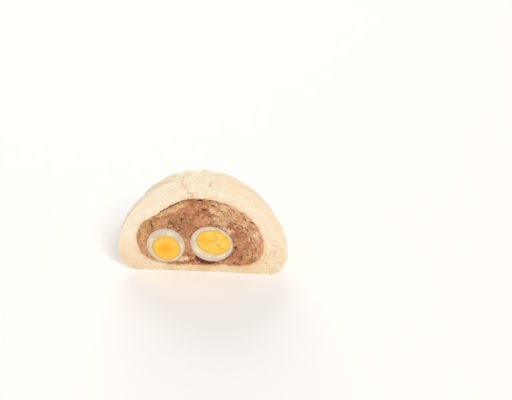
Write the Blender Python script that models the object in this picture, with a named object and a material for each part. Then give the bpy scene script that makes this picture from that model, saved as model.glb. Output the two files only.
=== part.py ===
# Half of a large steamed bun, cut upright through the middle to show its pork filling and two
# halved quail eggs. The cut face looks along -Y and the pleated back along +Y, with +Z up.
# The origin is under the middle of the half's box, on the surface that the bun rests on.

import math
import random

import bmesh
import bpy
from mathutils import Euler, Matrix, Vector

MM = 0.001

# The bun's upright axis lies in the cut plane, this far from the origin.
AXIS_X = 0.1 * MM
AXIS_Y = -26.8 * MM

# What touches keeps this gap, and a knife is this much larger than what it cuts.
GAP = 0.3 * MM
KNIFE_SIZE = 160 * MM
CUT_BEHIND_AXIS = 0.08 * MM

# The whole bun before the cut, then the pocket that its filling takes up. Round and rise are the
# powers of the cosine and sine that draw the dome in the cut, where the knife pressed it down.
# Away from the cut the bun fills out to a full dome, where both powers are 1.
BUN = {
    "radius": 54.8 * MM,
    "floor": 0.0,
    "belly": 16.0 * MM,
    "top": 67.0 * MM,
    "foot": 41.0 * MM,
    "round": 1.24,
    "rise": 1.11,
    "lean": -3.2 * MM,
}
POCKET = {
    "radius": 40.0 * MM,
    "floor": 5.6 * MM,
    "belly": 20.0 * MM,
    "top": 52.6 * MM,
    "foot": 27.0 * MM,
    "round": 1.08,
    "rise": 1.08,
    "lean": 1.5 * MM,
}
POCKET_SHIFT_X = -1.6 * MM
POCKET_DEPTH_SHARE = 0.92
POCKET_UNEVENNESS = 0.022

# The pocket's unevenness: each wave's size, turns round the axis, turns up the wall and start.
POCKET_WAVES = ((1.0, 3, 5, 0.4), (0.8, 7, -4, 0.0), (0.6, 2, 11, 1.1))

BUN_SEGMENTS = 112
BUN_RINGS = 42
POCKET_SEGMENTS = 40
POCKET_RINGS = 24

# The share of a sphere's lower quarter that becomes the foot's rounded edge: the rest is its flat.
FOOT_EDGE_LATITUDE = math.radians(64)

# Folded pleats run down from the knob to near the belly, like a twisted purse.
PLEAT_COUNT = 16
PLEAT_DEPTH = 2.5 * MM
PLEAT_TWIST = math.radians(16)
PLEAT_FIRST = math.radians(9)
PLEAT_SPREAD = 0.17
PLEAT_START = 0.24
PLEAT_FULL = 0.58
PLEAT_TOP_FADE = (0.7, 2.8)
PLEAT_SHARPNESS = 0.55
PLEAT_LOPSIDED = 0.22

# Pleats differ by a fixed rule: each wave's step from pleat to pleat and its start, in radians.
PLEAT_SHIFT_WAVE = (2.39, 0.6)
PLEAT_DEPTH_WAVE = (1.71, 2.1)
PLEAT_DEPTH_MIDDLE = 0.86
PLEAT_DEPTH_SWING = 0.3

# The knob where the pleats were pinched together.
KNOB_RADIUS = 10.0 * MM
KNOB_HEIGHT = 3.4 * MM
KNOB_ROUNDNESS = 0.95
KNOB_RIDGES = 5
KNOB_RIDGE_HEIGHT = 0.6 * MM
KNOB_SWIRL = 2.4
KNOB_DIMPLE = 0.6 * MM
KNOB_DIMPLE_RADIUS = 3.0 * MM
KNOB_MOAT = 0.5 * MM
KNOB_MOAT_PLACE = 1.1
KNOB_MOAT_WIDTH = 0.22

# The filling's face lies a little behind the knife's plane, with its lumps fused on.
FILLING_RECESS = 0.5 * MM
LUMP_THICKNESS = 3.2 * MM

# The larger chunks of the filling's face: across and up from the middle of the foot, half width,
# half height, tilt in degrees, and how far each stands in front of the knife's plane, in mm.
CHUNKS = {
    "fat_slab": (-18.7, 44.6, 13.0, 3.0, 27, 0.5),
    "mauve_pork": (-17.4, 39.4, 6.8, 3.8, 14, 0.2),
    "rosy_pork": (-7.4, 44.6, 6.0, 4.2, 12, 0.7),
    "left_pork": (-26.4, 34.0, 7.0, 4.4, 38, 0.3),
    "top_pork": (0.8, 48.4, 4.6, 3.0, -4, 0.4),
    "amber_pork": (-0.4, 37.0, 6.4, 4.2, 18, 0.9),
    "onion": (12.4, 38.0, 7.2, 4.4, -16, 0.6),
    "cream_fat": (8.8, 43.8, 5.6, 2.5, -22, 0.7),
    "middle_pork": (-9.0, 30.6, 6.0, 5.4, 50, 0.1),
    "dark_pork": (23.2, 28.6, 4.6, 5.4, -48, 0.2),
    "right_pork": (26.0, 21.0, 5.8, 8.0, 14, 0.4),
    "band_pork": (23.6, 40.8, 4.8, 3.2, -34, 0.7),
    "rim_pork": (34.2, 27.4, 3.6, 3.6, 0, 0.6),
    "low_slab": (29.8, 9.8, 8.2, 2.6, 13, 0.5),
    "left_rim": (-37.6, 27.6, 3.0, 6.2, -8, 0.3),
    "left_low": (-36.8, 14.6, 3.2, 5.0, 24, 0.2),
    "between_eggs": (-9.2, 19.0, 3.4, 7.4, 4, -0.2),
    "low_pork": (-13.2, 9.0, 5.6, 2.8, 4, 0.1),
    "under_egg": (17.6, 8.0, 5.6, 2.2, 6, 0.1),
}
LARGE_CHUNK = 7.1

# Loose crumbs of pork lie in a band that bends round the right of the filling. Sink, width and
# flatness are shares of a crumb's size, and turn is how far one may lie askew, in radians.
CRUMB_COUNT = 46
CRUMB_SEED = 7
CRUMB_SIZE = (1.0 * MM, 1.9 * MM)
CRUMB_BAND_CENTRE = (4.0 * MM, 22.0 * MM)
CRUMB_BAND_RADII = (25.5 * MM, 33.0 * MM)
CRUMB_BAND_ANGLES = (math.radians(-22), math.radians(84))
CRUMB_BAND_SQUASH = 0.86
CRUMB_SINK = (0.1, 0.6)
CRUMB_WIDTH = (1.0, 1.6)
CRUMB_FLATNESS = (0.7, 1.0)
CRUMB_TURN = 0.6

# Boiled quail eggs: the centre across, behind the cut and up, the width and length, how the long
# axis is turned about Z and rolled in the cut plane, and the yolk's half sizes and its own shift.
EGGS = {
    "left": {
        "centre": (-23.6 * MM, 0.6 * MM, 18.6 * MM),
        "width": 24.6 * MM,
        "length": 31.0 * MM,
        "turn": math.radians(6),
        "roll": 0.0,
        "yolk": (8.9 * MM, 10.4 * MM, 8.7 * MM),
        "yolk_shift": (0.5 * MM, -1.5 * MM),
    },
    "right": {
        "centre": (6.7 * MM, 0.4 * MM, 20.8 * MM),
        "width": 25.2 * MM,
        "length": 31.5 * MM,
        "turn": math.radians(-42),
        "roll": math.radians(12),
        "yolk": (11.0 * MM, 9.4 * MM, 8.8 * MM),
        "yolk_shift": (0.6 * MM, 1.0 * MM),
    },
}
EGG_TAPER = 0.1
EGG_PROUD = 0.8 * MM
YOLK_PROUD = 1.1 * MM
YOLK_ROLL = math.radians(14)
EGG_SEGMENTS = 28
EGG_RINGS = 12
YOLK_SEGMENTS = 20
YOLK_RINGS = 10

# A dark red-brown sliver of cured sausage is tucked under the right egg.
SLIVER_CENTRE = (1.2 * MM, 4.2 * MM, 10.9 * MM)
SLIVER_HALF_SIZE = (7.6 * MM, 6.0 * MM, 4.1 * MM)
SLIVER_TILT = math.radians(14)
SLIVER_PROUD = 0.1 * MM
SLIVER_DETAIL = 3

# The colour and roughness of each material. Nothing here is metallic.
FINISHES = {
    "steamed_dough": ((0.93, 0.80, 0.62, 1.0), 0.55),
    "pork": ((0.47, 0.24, 0.13, 1.0), 0.45),
    "egg_white": ((0.74, 0.66, 0.55, 1.0), 0.30),
    "yolk": ((0.92, 0.50, 0.07, 1.0), 0.60),
    "cured_sausage": ((0.16, 0.03, 0.012, 1.0), 0.35),
}


def clear_scene():
    for obj in list(bpy.data.objects):
        bpy.data.objects.remove(obj)


def smooth_step(low, high, value):
    share = min(1.0, max(0.0, (value - low) / (high - low)))
    return share * share * (3 - 2 * share)


def finish(name):
    colour, roughness = FINISHES[name]
    material = bpy.data.materials.new(name)
    material.use_nodes = True
    shader = material.node_tree.nodes["Principled BSDF"]
    shader.inputs["Base Color"].default_value = colour
    shader.inputs["Roughness"].default_value = roughness
    shader.inputs["Metallic"].default_value = 0.0
    return material


def object_from(bm, name, collection, material=None):
    mesh = bpy.data.meshes.new(name)
    bm.to_mesh(mesh)
    bm.free()
    mesh.shade_smooth()
    obj = bpy.data.objects.new(name, mesh)
    collection.objects.link(obj)
    if material:
        mesh.materials.append(material)
    else:
        obj.hide_render = True
        obj.display_type = "WIRE"
    return obj


# The dome that the bun and its pocket share

def dome_profile(form, latitude, fullness=0.0):
    """Radius and height on a dome, from its flat foot at -90 degrees to its top at 90."""
    if latitude >= 0:
        roundness = form["round"] + (1 - form["round"]) * fullness
        rise = form["rise"] + (1 - form["rise"]) * fullness
        height = (form["top"] - form["belly"]) * math.sin(latitude) ** rise
        return form["radius"] * math.cos(latitude) ** roundness, form["belly"] + height
    if latitude > -FOOT_EDGE_LATITUDE:
        turn = -latitude / FOOT_EDGE_LATITUDE * math.pi / 2
        out = form["foot"] + (form["radius"] - form["foot"]) * math.cos(turn)
        return out, form["belly"] - (form["belly"] - form["floor"]) * math.sin(turn)
    rest = (math.pi / 2 + latitude) / (math.pi / 2 - FOOT_EDGE_LATITUDE)
    return form["foot"] * rest, form["floor"]


def lean_at(form, height):
    share = (height - form["floor"]) / (form["top"] - form["floor"])
    return form["lean"] * share * share


def pleat_variation(index):
    """A shift from -1 to 1 and a depth share for one pleat."""
    shift_step, shift_start = PLEAT_SHIFT_WAVE
    depth_step, depth_start = PLEAT_DEPTH_WAVE
    depth = PLEAT_DEPTH_MIDDLE + PLEAT_DEPTH_SWING * math.sin(index * depth_step + depth_start)
    return math.sin(index * shift_step + shift_start), depth


def pleat_at(around):
    """The true angle of a mesh line, and how far it is drawn in: a sharp valley beside each lobe."""
    step = 2 * math.pi / PLEAT_COUNT
    index, share = divmod(around / step, 1)
    first_shift, first_depth = pleat_variation(index % PLEAT_COUNT)
    next_shift, next_depth = pleat_variation((index + 1) % PLEAT_COUNT)
    shift = first_shift + (next_shift - first_shift) * share
    depth = first_depth + (next_depth - first_depth) * share
    lopsided = share + PLEAT_LOPSIDED * share * (1 - share)
    valley = 1 - math.sin(math.pi * lopsided) ** PLEAT_SHARPNESS
    angle = PLEAT_FIRST + (index + share + PLEAT_SPREAD * shift) * step
    return angle, PLEAT_DEPTH * valley * depth


def knob_height(around, out):
    """The knob's rise above the dome: a low cap with twisted ridges, its dimple and a moat round it."""
    share = min(1.0, out / KNOB_RADIUS)
    rise = KNOB_HEIGHT * (1 - share * share) ** KNOB_ROUNDNESS
    ridges = math.cos(KNOB_RIDGES * around + KNOB_SWIRL * share * math.pi / 2)
    rise += KNOB_RIDGE_HEIGHT * ridges * math.sin(math.pi * share) ** 2
    rise -= KNOB_DIMPLE * (1 - smooth_step(0.0, KNOB_DIMPLE_RADIUS, out))
    return rise - KNOB_MOAT * math.exp(-((out / KNOB_RADIUS - KNOB_MOAT_PLACE) / KNOB_MOAT_WIDTH) ** 2)


def bun_point(around, latitude):
    angle, drawn_in = pleat_at(around % (2 * math.pi))
    _, height = dome_profile(BUN, latitude)
    angle -= PLEAT_TWIST * (1 - height / BUN["top"])
    out, height = dome_profile(BUN, latitude, smooth_step(0.0, 1.0, abs(math.sin(angle))))
    if latitude > 0:
        drawn_in *= smooth_step(PLEAT_START, PLEAT_FULL, height / BUN["top"])
        drawn_in *= smooth_step(KNOB_RADIUS * PLEAT_TOP_FADE[0], KNOB_RADIUS * PLEAT_TOP_FADE[1], out)
        out -= drawn_in * math.cos(latitude)
        height += knob_height(angle, out) - drawn_in * math.sin(latitude)
    return Vector((out * math.cos(angle) + lean_at(BUN, height), out * math.sin(angle), height))


def pocket_point(around, latitude, grow):
    """A point on the pocket's uneven wall, moved outwards by grow."""
    out, height = dome_profile(POCKET, latitude)
    wave = sum(size * math.sin(a * around + b * latitude + c) for size, a, b, c in POCKET_WAVES)
    uneven = POCKET_UNEVENNESS * wave * math.cos(latitude) ** 2
    middle = (POCKET["belly"] + POCKET["floor"]) / 2
    out = max(0.0, out * (1 + uneven) + grow * math.cos(latitude))
    height += (height - middle) * uneven / 2 + grow * math.sin(latitude)
    x = POCKET_SHIFT_X + out * math.cos(around) + lean_at(POCKET, height)
    return Vector((x, POCKET_DEPTH_SHARE * out * math.sin(around), height))


def shaped_sphere(name, segments, rings, place, collection, material=None):
    """A sphere whose points are moved to place(angle round Z, latitude)."""
    bm = bmesh.new()
    bmesh.ops.create_uvsphere(bm, u_segments=segments, v_segments=rings, radius=1.0)
    for vertex in bm.verts:
        latitude = math.asin(max(-1.0, min(1.0, vertex.co.z)))
        vertex.co = place(math.atan2(vertex.co.y, vertex.co.x), latitude)
    bmesh.ops.triangulate(bm, faces=bm.faces)
    return object_from(bm, name, collection, material)


def knife(name, front_of, collection):
    """A block that takes away everything in front of y = front_of."""
    bm = bmesh.new()
    bmesh.ops.create_cube(bm, size=KNIFE_SIZE)
    bmesh.ops.translate(bm, verts=bm.verts, vec=(0, front_of - KNIFE_SIZE / 2, 0))
    return object_from(bm, name, collection)


def cut(obj, cutter, operation="DIFFERENCE"):
    modifier = obj.modifiers.new(cutter.name, "BOOLEAN")
    modifier.operation = operation
    modifier.solver = "EXACT"
    modifier.object = cutter


def apply_modifiers(obj):
    graph = bpy.context.evaluated_depsgraph_get()
    made = bpy.data.meshes.new_from_object(obj.evaluated_get(graph))
    obj.modifiers.clear()
    obj.data = made


# Eggs

def egg_frame(egg):
    """Lays an egg that stands along Z down along Y, then turns and rolls it."""
    lay_down = Matrix.Rotation(-math.pi / 2, 4, "X")
    turn = Matrix.Rotation(egg["turn"], 4, "Z")
    roll = Matrix.Rotation(egg["roll"], 4, "Y")
    return Matrix.Translation(egg["centre"]) @ roll @ turn @ lay_down


def egg_solid(name, egg, grow, collection, material=None):
    frame = egg_frame(egg)

    def place(around, latitude):
        out = egg["width"] / 2 * math.cos(latitude) * (1 - EGG_TAPER * math.sin(latitude))
        along = egg["length"] / 2 * math.sin(latitude)
        out += grow * math.cos(latitude)
        along += grow * math.sin(latitude)
        return frame @ Vector((out * math.cos(around), out * math.sin(around), along))

    return shaped_sphere(name, EGG_SEGMENTS, EGG_RINGS, place, collection, material)


def yolk_solid(name, egg, grow, collection, material=None):
    shift_x, shift_z = egg["yolk_shift"]
    centre = Vector(egg["centre"]) + Vector((shift_x, 0, shift_z))
    frame = Matrix.Translation(centre) @ Matrix.Rotation(YOLK_ROLL, 4, "Y")
    half_x, half_y, half_z = (half + grow for half in egg["yolk"])

    def place(around, latitude):
        flat = math.cos(latitude)
        ball = Vector((flat * math.cos(around), math.sin(latitude), flat * math.sin(around)))
        return frame @ Vector((half_x * ball.x, half_y * ball.y, half_z * ball.z))

    # The yolk's poles lie along Y, which turns the sphere inside out, so its faces are flipped.
    obj = shaped_sphere(name, YOLK_SEGMENTS, YOLK_RINGS, place, collection, material)
    obj.data.flip_normals()
    return obj


# The sliver and the filling's lumps

def pebble(name, centre, half_size, tilt, detail, collection, material=None):
    """A rounded lump, tilted in the cut plane."""
    bm = bmesh.new()
    bmesh.ops.create_icosphere(bm, subdivisions=detail, radius=1.0)
    frame = Matrix.Translation(centre) @ Euler((0, -tilt, 0)).to_matrix().to_4x4()
    bmesh.ops.transform(bm, matrix=frame @ Matrix.Diagonal((*half_size, 1)), verts=bm.verts)
    return object_from(bm, name, collection, material)


def add_chunks(collection, material):
    for name, (x, z, half_width, half_height, tilt, proud) in CHUNKS.items():
        detail = 3 if max(half_width, half_height) > LARGE_CHUNK else 2
        centre = (x * MM, LUMP_THICKNESS - proud * MM, z * MM)
        half_size = (half_width * MM, LUMP_THICKNESS, half_height * MM)
        pebble("chunk_" + name, centre, half_size, math.radians(tilt), detail, collection, material)


def add_crumbs(collection, material):
    draw = random.Random(CRUMB_SEED)
    low, high = CRUMB_BAND_ANGLES
    for index in range(CRUMB_COUNT):
        angle = low + (high - low) * (index + draw.random()) / CRUMB_COUNT
        radius = draw.uniform(*CRUMB_BAND_RADII)
        size = draw.uniform(*CRUMB_SIZE)
        x = CRUMB_BAND_CENTRE[0] + radius * math.cos(angle)
        z = CRUMB_BAND_CENTRE[1] + CRUMB_BAND_SQUASH * radius * math.sin(angle)
        half_size = (size * draw.uniform(*CRUMB_WIDTH), size, size * draw.uniform(*CRUMB_FLATNESS))
        tilt = angle + math.pi / 2 + draw.uniform(-CRUMB_TURN, CRUMB_TURN)
        y = FILLING_RECESS + draw.uniform(*CRUMB_SINK) * size
        pebble(f"crumb_{index}", (x, y, z), half_size, tilt, 1, collection, material)


def make_filling(parts, cutters, material):
    lumps = bpy.data.collections.new("lumps")
    bpy.context.scene.collection.children.link(lumps)
    add_chunks(lumps, material)
    add_crumbs(lumps, material)
    filling = shaped_sphere(
        "filling", POCKET_SEGMENTS, POCKET_RINGS, lambda a, b: pocket_point(a, b, -GAP), parts, material
    )
    cut(filling, knife("filling_knife", FILLING_RECESS, cutters))
    union = filling.modifiers.new("lumps", "BOOLEAN")
    union.operation = "UNION"
    union.solver = "MANIFOLD"
    union.operand_type = "COLLECTION"
    union.collection = lumps
    apply_modifiers(filling)
    for lump in list(lumps.objects):
        bpy.data.objects.remove(lump)
    bpy.data.collections.remove(lumps)
    limit = shaped_sphere(
        "filling_limit", POCKET_SEGMENTS, POCKET_RINGS, lambda a, b: pocket_point(a, b, -GAP / 2), cutters
    )
    cut(filling, limit, "INTERSECT")
    return filling


def make_dough(parts, cutters, material):
    dough = shaped_sphere("dough", BUN_SEGMENTS, BUN_RINGS, bun_point, parts, material)
    pocket = shaped_sphere(
        "pocket", POCKET_SEGMENTS, POCKET_RINGS, lambda a, b: pocket_point(a, b, GAP / 2), cutters
    )
    cut(dough, knife("bun_knife", CUT_BEHIND_AXIS, cutters))
    cut(dough, pocket)
    return dough


def make_egg(side, filling, parts, cutters, white, yellow):
    egg = EGGS[side]
    white_half = egg_solid("egg_white_" + side, egg, 0.0, parts, white)
    cut(white_half, knife("egg_knife_" + side, -EGG_PROUD, cutters))
    cut(white_half, yolk_solid("yolk_socket_" + side, egg, GAP, cutters))
    yolk_half = yolk_solid("yolk_" + side, egg, 0.0, parts, yellow)
    cut(yolk_half, knife("yolk_knife_" + side, -YOLK_PROUD, cutters))
    cut(filling, egg_solid("egg_socket_" + side, egg, GAP, cutters))


def make_sliver(filling, parts, cutters, material):
    shape = (SLIVER_TILT, SLIVER_DETAIL)
    sliver = pebble("sausage_sliver", SLIVER_CENTRE, SLIVER_HALF_SIZE, *shape, parts, material)
    cut(sliver, knife("sliver_knife", -SLIVER_PROUD, cutters))
    cut(sliver, egg_solid("sliver_egg_socket", EGGS["right"], GAP, cutters))
    socket_size = tuple(half + GAP for half in SLIVER_HALF_SIZE)
    cut(filling, pebble("sliver_socket", SLIVER_CENTRE, socket_size, *shape, cutters))


def main():
    clear_scene()
    parts = bpy.data.collections.new("cut_steamed_bun")
    cutters = bpy.data.collections.new("cutters")
    for collection in (parts, cutters):
        bpy.context.scene.collection.children.link(collection)
    made = {name: finish(name) for name in FINISHES}
    make_dough(parts, cutters, made["steamed_dough"])
    filling = make_filling(parts, cutters, made["pork"])
    for side in EGGS:
        make_egg(side, filling, parts, cutters, made["egg_white"], made["yolk"])
    make_sliver(filling, parts, cutters, made["cured_sausage"])
    axis = bpy.data.objects.new("bun_axis", None)
    parts.objects.link(axis)
    for obj in [*parts.objects, *cutters.objects]:
        if obj is not axis:
            obj.parent = axis
    axis.location = (AXIS_X, AXIS_Y, 0)


main()
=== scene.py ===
# Half of a large steamed bun: pleated dough round a cut face of fine crumb, a pork filling in chunks,
# crumbs and shreds, two halved quail eggs and a sliver of cured sausage.

import math
import random

import bmesh
import bpy
import numpy as np
from mathutils import Matrix, Vector, noise


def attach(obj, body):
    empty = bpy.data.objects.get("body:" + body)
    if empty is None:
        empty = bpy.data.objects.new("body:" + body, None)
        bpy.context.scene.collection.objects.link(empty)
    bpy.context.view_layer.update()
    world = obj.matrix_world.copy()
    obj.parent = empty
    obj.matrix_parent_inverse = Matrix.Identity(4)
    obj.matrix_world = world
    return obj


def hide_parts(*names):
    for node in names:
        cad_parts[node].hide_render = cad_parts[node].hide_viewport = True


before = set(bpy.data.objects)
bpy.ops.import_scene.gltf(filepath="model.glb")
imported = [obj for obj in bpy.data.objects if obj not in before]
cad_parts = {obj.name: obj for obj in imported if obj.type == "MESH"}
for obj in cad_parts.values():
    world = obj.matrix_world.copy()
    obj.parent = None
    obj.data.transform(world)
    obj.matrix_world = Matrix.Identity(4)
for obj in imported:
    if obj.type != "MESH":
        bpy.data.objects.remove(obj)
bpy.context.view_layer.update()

mm = 0.001
axis = Vector((0.1, -26.8, 0.0)) * mm  # the bun's upright axis, in the plane of the cut


class Wire:  # one socket of a node tree: sums on it add Math nodes
    def __init__(self, tree, socket=None):
        self.tree, self.socket = tree, socket

    def node(self, kind, settings=None, values=None, output=0):
        made = self.tree.nodes.new(kind)
        for name, setting in (settings or {}).items():
            setattr(made, name, setting)
        for name, value in (values or {}).items():
            if isinstance(value, Wire):
                self.tree.links.new(value.socket, made.inputs[name])
            else:
                made.inputs[name].default_value = value
        return Wire(self.tree, made.outputs[output] if made.outputs else None)

    def math(self, operation, first, second=0.0):
        return self.node("ShaderNodeMath", {"operation": operation}, {0: first, 1: second})

    def __add__(self, other): return self.math("ADD", self, other)
    def __radd__(self, other): return self.math("ADD", other, self)
    def __sub__(self, other): return self.math("SUBTRACT", self, other)
    def __rsub__(self, other): return self.math("SUBTRACT", other, self)
    def __mul__(self, other): return self.math("MULTIPLY", self, other)
    def __rmul__(self, other): return self.math("MULTIPLY", other, self)
    def __truediv__(self, other): return self.math("DIVIDE", self, other)
    def __rtruediv__(self, other): return self.math("DIVIDE", other, self)
    def __pow__(self, other): return self.math("POWER", self, other)
    def sin(self): return self.math("SINE", self)
    def cos(self): return self.math("COSINE", self)

    def step(self, low, high):  # 0 below low, 1 above high, smooth between
        settings = {"interpolation_type": "SMOOTHSTEP"}
        return self.node("ShaderNodeMapRange", settings, {"Value": self, "From Min": low, "From Max": high})

    def blend(self, first, second):  # from one colour to another, by this share
        return self.node("ShaderNodeMix", {"data_type": "RGBA"}, {0: self, 6: first, 7: second}, 2)


def srgb(red, green, blue):  # a screen colour as light
    def light(value):
        value /= 255
        return value / 12.92 if value <= 0.04045 else ((value + 0.055) / 1.055) ** 2.4
    return (light(red), light(green), light(blue), 1.0)


def newMaterial(name):
    material = bpy.data.materials.new(name)
    material.use_nodes = True
    material.node_tree.nodes.clear()
    return material, Wire(material.node_tree)


def shade(start, colour, rough, normal=None, look=None):  # ends a material with its shader
    look = look or {}
    values = {"Base Color": colour, "Roughness": rough, "Specular IOR Level": look.get("specular", 0.5)}
    if normal:
        values["Normal"] = normal
    if "glow" in look:
        weight, radius, size = look["glow"]
        values["Subsurface Weight"], values["Subsurface Radius"] = weight, radius
        values["Subsurface Scale"] = size * mm
    if "coat" in look:
        values["Coat Weight"], values["Coat Roughness"] = look["coat"]
    if "shine" in look:
        values["Emission Color"], values["Emission Strength"] = look["shine"]
    shader = start.node("ShaderNodeBsdfPrincipled", {"subsurface_method": "RANDOM_WALK"}, values)
    start.node("ShaderNodeOutputMaterial", {}, {"Surface": shader})


def grain(start, scale, detail=2.0, roughness=0.5):  # noise from 0 to 1, sized in mm
    place = start.node("ShaderNodeTexCoord", output="Object")
    values = {"Vector": place, "Scale": 1 / (scale * mm), "Detail": detail, "Roughness": roughness}
    return start.node("ShaderNodeTexNoise", {}, values)


def bump(start, height, depth, strength=1.0, under=None):
    values = {"Height": height, "Distance": depth * mm, "Strength": strength}
    if under:
        values["Normal"] = under
    return start.node("ShaderNodeBump", {}, values)


def attribute(start, name, output="Fac"):
    return start.node("ShaderNodeAttribute", {"attribute_name": name}, output=output)


# A look holds a material's numbers. Each bump: size in mm, detail, roughness, depth in mm, strength.
# Rough: size in mm, share, least. Glow: share of light let in, its reach by colour, size in mm.
def finish(start, colour, look, normal=None, rough=None):
    for size, detail, roughness, depth, strength in look["bumps"]:
        normal = bump(start, grain(start, size, detail, roughness), depth, strength, normal)
    if rough is None:
        size, share, least = look["rough"]
        rough = grain(start, size) * share + least
    shade(start, colour, rough, normal, look)


def meshObject(name, points, faces, materials, smooth=True):
    mesh = bpy.data.meshes.new(name)
    mesh.from_pydata([tuple(point) for point in points], [], faces)
    mesh.update()
    for material in materials:
        mesh.materials.append(material)
    if smooth:
        mesh.shade_smooth()
    made = bpy.data.objects.new(name, mesh)
    bpy.context.scene.collection.objects.link(made)
    return made


def turnOutwards(made):  # one closed mesh: all its faces point out
    work = bmesh.new()
    work.from_mesh(made.data)
    bmesh.ops.recalc_face_normals(work, faces=work.faces)
    work.to_mesh(made.data)
    work.free()


def paint(made, name, values, kind="FLOAT"):  # one value for each point of a mesh
    layer = made.data.attributes.new(name, kind, "POINT")
    field = "color" if kind == "FLOAT_COLOR" else "value"
    layer.data.foreach_set(field, np.asarray(values, np.float32).ravel())


def bake(made):  # the modifiers' result as a plain mesh
    graph = bpy.context.evaluated_depsgraph_get()
    mesh = bpy.data.meshes.new_from_object(made.evaluated_get(graph))
    made.modifiers.clear()
    made.data = mesh
    mesh.name = made.name
    return made


def smoothStep(low, high, value):
    share = np.clip((value - low) / (high - low), 0.0, 1.0)
    return share * share * (3 - 2 * share)


def nodeTree(name, numbers):  # an empty Geometry Nodes tree with named inputs
    tree = bpy.data.node_groups.new(name, "GeometryNodeTree")
    tree.interface.new_socket("Geometry", in_out="INPUT", socket_type="NodeSocketGeometry")
    tree.interface.new_socket("Geometry", in_out="OUTPUT", socket_type="NodeSocketGeometry")
    for label, value in numbers.items():
        kind = "NodeSocketInt" if isinstance(value, int) else "NodeSocketFloat"
        tree.interface.new_socket(label, in_out="INPUT", socket_type=kind).default_value = value
    entry = tree.nodes.new("NodeGroupInput")
    inputs = {socket.name: Wire(tree, socket) for socket in entry.outputs if socket.name}
    return tree, Wire(tree), inputs


def endTree(start, geometry, material, cutMaterial=None):
    geometry = start.node("GeometryNodeRealizeInstances", {}, {"Geometry": geometry})
    geometry = start.node("GeometryNodeSetMaterial", {}, {"Geometry": geometry, "Material": material})
    if cutMaterial:
        where = start.node("GeometryNodeInputNamedAttribute", {"data_type": "FLOAT"}, {"Name": "onCut"})
        values = {"Geometry": geometry, "Selection": where.math("GREATER_THAN", where, 0.5)}
        geometry = start.node("GeometryNodeSetMaterial", {}, {**values, "Material": cutMaterial})
    start.node("NodeGroupOutput", {}, {0: geometry})


def runTree(made, tree, numbers):  # sets each input by its identifier, then makes it plain
    modifier = made.modifiers.new(tree.name, "NODES")
    modifier.node_group = tree
    for socket in tree.interface.items_tree:
        if socket.in_out == "INPUT" and socket.name in numbers:
            modifier[socket.identifier] = numbers[socket.name]
    return bake(made)


def named(start, name):
    return start.node("GeometryNodeInputNamedAttribute", {"data_type": "FLOAT"}, {"Name": name})


def moved(start, geometry, offset):
    return start.node("GeometryNodeSetPosition", {}, {"Geometry": geometry, "Offset": offset})


def stored(start, geometry, name, value):
    values = {"Geometry": geometry, "Name": name, "Value": value}
    return start.node("GeometryNodeStoreNamedAttribute", {"data_type": "FLOAT"}, values)


# The dough's materials

skinLook = {
    "cream": srgb(254, 236, 209), "shadow": srgb(238, 203, 160), "foot": srgb(247, 224, 190),
    "mottle": 7.0, "mottled": 0.4, "creaseShade": 0.7,
    "footShadeHeights": (24.0, 2.0), "footShadeShare": 0.7,
    "bumps": [(3.4, 3.0, 0.55, 0.32, 0.5), (0.7, 3.0, 0.6, 0.05, 0.5)],
    "rough": (2.2, 0.24, 0.4), "glow": (0.35, (1.0, 0.76, 0.55), 2.0), "specular": 0.28,
}


def skinMaterial():
    material, start = newMaterial("steamedSkin")
    look = skinLook
    mottle = grain(start, look["mottle"], 3.0, 0.6).step(0.3, 0.75)
    colour = (mottle * look["mottled"]).blend(look["cream"], look["foot"])
    # painted shade: the pleats' creases darkened towards the shadow colour
    colour = (attribute(start, "crease") * look["creaseShade"]).blend(colour, look["shadow"])
    # painted warm shade: the skin darker and warmer towards the foot
    low = attribute(start, "height").step(*look["footShadeHeights"])
    colour = (low * look["footShadeShare"]).blend(colour, look["foot"])
    finish(start, colour, look)
    return material


crumbLook = {
    "light": srgb(254, 242, 221), "warm": srgb(245, 222, 192), "pit": srgb(222, 188, 146),
    "low": srgb(232, 201, 159), "soaked": srgb(228, 182, 122), "tornLight": srgb(255, 236, 206),
    "bubble": 1.25, "fineBubble": 0.62, "brokenBubble": 1.9,  # sizes in mm
    "clouded": 0.4, "speckled": 0.6, "tornLightShare": 0.8, "pitShadeShare": 0.6, "lowShadeHeights": (30.0, 1.0),
    "coarse": (0.28, 0.7), "bumps": [(0.42, 3.0, 0.65, 0.08, 0.5)],
    "rough": 0.86, "radius": (1.0, 0.86, 0.72), "glowSize": 0.6, "specular": 0.2,
}


def pits(start, size, least=0.1, most=0.42):  # bubbles cut open, 1 in their middles, 0 between them
    place = start.node("ShaderNodeTexCoord", output="Object")
    values = {"Vector": place, "Scale": 1 / (size * mm)}
    cell = start.node("ShaderNodeTexVoronoi", {}, values, "Distance")
    colour = start.node("ShaderNodeTexVoronoi", {}, values, "Color")
    draw = start.node("ShaderNodeSeparateColor", {}, {"Color": colour})
    width = draw * draw * (most - least) + least
    return cell.step(width, width * 0.45)


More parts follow.
